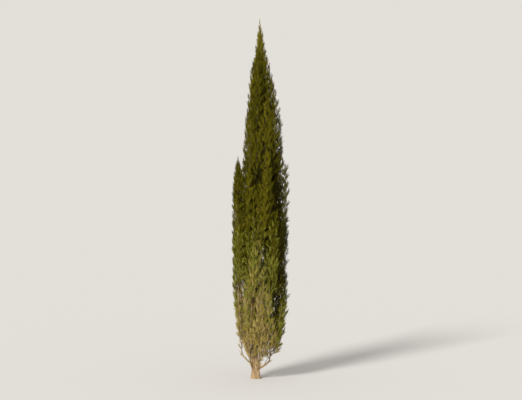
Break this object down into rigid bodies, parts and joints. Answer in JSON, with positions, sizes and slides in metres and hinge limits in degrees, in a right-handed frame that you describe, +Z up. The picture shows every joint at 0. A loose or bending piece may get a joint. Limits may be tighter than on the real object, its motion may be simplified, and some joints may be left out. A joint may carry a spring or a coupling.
{
  "type": "pencil cypress tree",
  "caption": "Whole narrow upright conifer, rooted in the ground: a flared trunk, a second lower stem, steep boughs and close upright plumes of scale foliage.",
  "frame": {"origin": "middle of the flat cut under the trunk, at ground level", "axes": "+Z up along the trunk, +X to the viewer's right and -Y towards the viewer of the picture"},
  "size_m": [1.3028, 1.1336, 8],
  "materials": {
    "bark": "dry grey-brown bark in long fibrous strips",
    "foliage": "matt dark olive scale foliage, drier and tan low down"
  },
  "bodies": {
    "root": {"trunk": "bark", "left_stem": "bark", "bough_low_1": "bark", "bough_low_2": "bark", "bough_low_3": "bark", "bough_low_4": "bark", "bough_low_5": "bark", "bough_waist_1": "bark", "bough_waist_2": "bark", "bough_waist_3": "bark", "bough_waist_4": "bark", "bough_waist_5": "bark", "bough_middle_1": "bark", "bough_middle_2": "bark", "bough_middle_3": "bark", "bough_middle_4": "bark", "bough_middle_5": "bark", "bough_shoulder_1": "bark", "bough_shoulder_2": "bark", "bough_shoulder_3": "bark", "bough_shoulder_4": "bark", "bough_upper_1": "bark", "bough_upper_2": "bark", "bough_upper_3": "bark", "bough_left_low_1": "bark", "bough_left_middle_1": "bark", "bough_left_middle_2": "bark", "foliage_low_1": "foliage", "foliage_low_2": "foliage", "foliage_low_3": "foliage", "foliage_low_4": "foliage", "foliage_low_5": "foliage", "foliage_waist_1": "foliage", "foliage_waist_2": "foliage", "foliage_waist_3": "foliage", "foliage_waist_4": "foliage", "foliage_waist_5": "foliage", "foliage_middle_1": "foliage", "foliage_middle_2": "foliage", "foliage_middle_3": "foliage", "foliage_middle_4": "foliage", "foliage_middle_5": "foliage", "foliage_shoulder_1": "foliage", "foliage_shoulder_2": "foliage", "foliage_shoulder_3": "foliage", "foliage_shoulder_4": "foliage", "foliage_upper_1": "foliage", "foliage_upper_2": "foliage", "foliage_upper_3": "foliage", "foliage_left_low_1": "foliage", "foliage_left_middle_1": "foliage", "foliage_left_middle_2": "foliage", "foliage_top": "foliage", "foliage_left_top": "foliage"}
  },
  "joints": []
}
